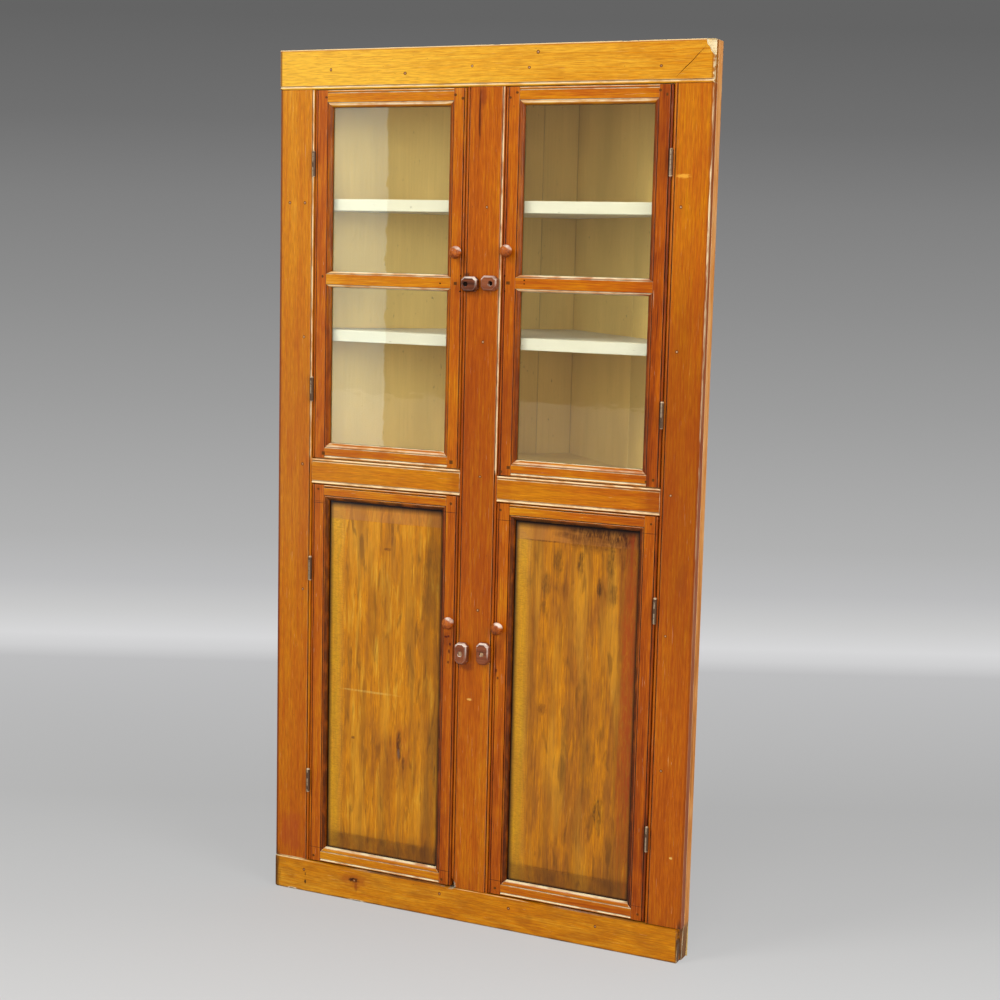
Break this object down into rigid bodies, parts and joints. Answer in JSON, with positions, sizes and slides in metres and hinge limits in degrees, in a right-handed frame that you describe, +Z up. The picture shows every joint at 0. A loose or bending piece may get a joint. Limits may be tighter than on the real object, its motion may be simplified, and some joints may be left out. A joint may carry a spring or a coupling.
{
  "type": "corner cupboard",
  "caption": "Full-height pine corner cupboard with glazed doors above and raised-panel doors below, wooden knobs and turn buttons.",
  "frame": {"origin": "middle of the face frame's front plane at the floor, on the base board's underside", "axes": "+Z up; the front faces -Y; +X to the right as seen from the front; the right-angled back points along +Y into the room's corner"},
  "size_m": [1.098, 0.632, 2.1],
  "materials": {
    "honey_pine": "honey-coloured waxed pine, satin",
    "frame_pine": "amber waxed pine, satin",
    "door_pine": "reddish amber waxed pine, satin",
    "panel_pine": "golden waxed pine with brown streaks",
    "olive_painted_pine": "old olive-cream paint, matt",
    "cream_painted_pine": "cream paint, satin",
    "bare_pine": "unpolished pale pine, worn",
    "old_glass": "old wavy window glass",
    "turned_wood": "red-brown hardwood, polished by use",
    "forged_iron": "dark worn iron"
  },
  "bodies": {
    "carcass": {"base_board": "honey_pine", "bottom_board": "olive_painted_pine", "centre_stile": "frame_pine", "frieze_board": "honey_pine", "left_return": "bare_pine", "left_stile": "frame_pine", "left_waist_rail": "honey_pine", "left_wall_corner_plank": "olive_painted_pine", "left_wall_front_plank": "olive_painted_pine", "lower_high_shelf": "olive_painted_pine", "lower_left_door_high_hinge": "forged_iron", "lower_left_door_low_hinge": "forged_iron", "lower_low_shelf": "olive_painted_pine", "lower_right_door_high_hinge": "forged_iron", "lower_right_door_low_hinge": "forged_iron", "right_return": "bare_pine", "right_stile": "frame_pine", "right_waist_rail": "honey_pine", "right_wall_corner_plank": "olive_painted_pine", "right_wall_front_plank": "olive_painted_pine", "top_board": "olive_painted_pine", "upper_high_shelf": "cream_painted_pine", "upper_left_door_high_hinge": "forged_iron", "upper_left_door_low_hinge": "forged_iron", "upper_low_shelf": "cream_painted_pine", "upper_right_door_high_hinge": "forged_iron", "upper_right_door_low_hinge": "forged_iron", "waist_board": "olive_painted_pine"},
    "upper_left_door": {"upper_left_door_foot_rail": "door_pine", "upper_left_door_glazing_bar": "door_pine", "upper_left_door_head_rail": "door_pine", "upper_left_door_hinge_stile": "door_pine", "upper_left_door_knob": "turned_wood", "upper_left_door_lock_stile": "door_pine", "upper_left_door_lower_pane": "old_glass", "upper_left_door_upper_pane": "old_glass"},
    "upper_right_door": {"upper_right_door_foot_rail": "door_pine", "upper_right_door_glazing_bar": "door_pine", "upper_right_door_head_rail": "door_pine", "upper_right_door_hinge_stile": "door_pine", "upper_right_door_knob": "turned_wood", "upper_right_door_lock_stile": "door_pine", "upper_right_door_lower_pane": "old_glass", "upper_right_door_upper_pane": "old_glass"},
    "lower_left_door": {"lower_left_door_foot_rail": "door_pine", "lower_left_door_head_rail": "door_pine", "lower_left_door_hinge_stile": "door_pine", "lower_left_door_knob": "turned_wood", "lower_left_door_lock_stile": "door_pine", "lower_left_door_panel": "panel_pine"},
    "lower_right_door": {"lower_right_door_foot_rail": "door_pine", "lower_right_door_head_rail": "door_pine", "lower_right_door_hinge_stile": "door_pine", "lower_right_door_knob": "turned_wood", "lower_right_door_lock_stile": "door_pine", "lower_right_door_panel": "panel_pine"},
    "upper_left_button": {"upper_left_door_turn_button": "turned_wood"},
    "upper_right_button": {"upper_right_door_turn_button": "turned_wood"},
    "lower_left_button": {"lower_left_door_turn_button": "turned_wood"},
    "lower_right_button": {"lower_right_door_turn_button": "turned_wood"}
  },
  "joints": [
    {"name": "upper_left_door_hinge", "type": "hinge", "parent": "carcass", "child": "upper_left_door", "pos_m": [-0.4527, -0.0052, 1.5612], "axis": [0, 0, -1], "range_deg": [0, 135]},
    {"name": "upper_right_door_hinge", "type": "hinge", "parent": "carcass", "child": "upper_right_door", "pos_m": [0.4577, -0.0052, 1.5577], "axis": [0, 0, 1], "range_deg": [0, 135]},
    {"name": "lower_left_door_hinge", "type": "hinge", "parent": "carcass", "child": "lower_left_door", "pos_m": [-0.4527, -0.0052, 0.5682], "axis": [0, 0, -1], "range_deg": [0, 135]},
    {"name": "lower_right_door_hinge", "type": "hinge", "parent": "carcass", "child": "lower_right_door", "pos_m": [0.4577, -0.0052, 0.5647], "axis": [0, 0, 1], "range_deg": [0, 135]},
    {"name": "upper_left_button_screw", "type": "hinge", "parent": "carcass", "child": "upper_left_button", "pos_m": [-0.0335, -0.0095, 1.55499], "axis": [0, -1, 0], "range_deg": [0, 180]},
    {"name": "upper_right_button_screw", "type": "hinge", "parent": "carcass", "child": "upper_right_button", "pos_m": [0.0305, -0.0095, 1.55797], "axis": [0, 1, 0], "range_deg": [0, 180]},
    {"name": "lower_left_button_screw", "type": "hinge", "parent": "carcass", "child": "lower_left_button", "pos_m": [-0.0275, -0.0095, 0.67321], "axis": [0, -1, 0], "range_deg": [0, 90]},
    {"name": "lower_right_button_screw", "type": "hinge", "parent": "carcass", "child": "lower_right_button", "pos_m": [0.03, -0.0095, 0.67863], "axis": [0, 1, 0], "range_deg": [0, 90]}
  ]
}
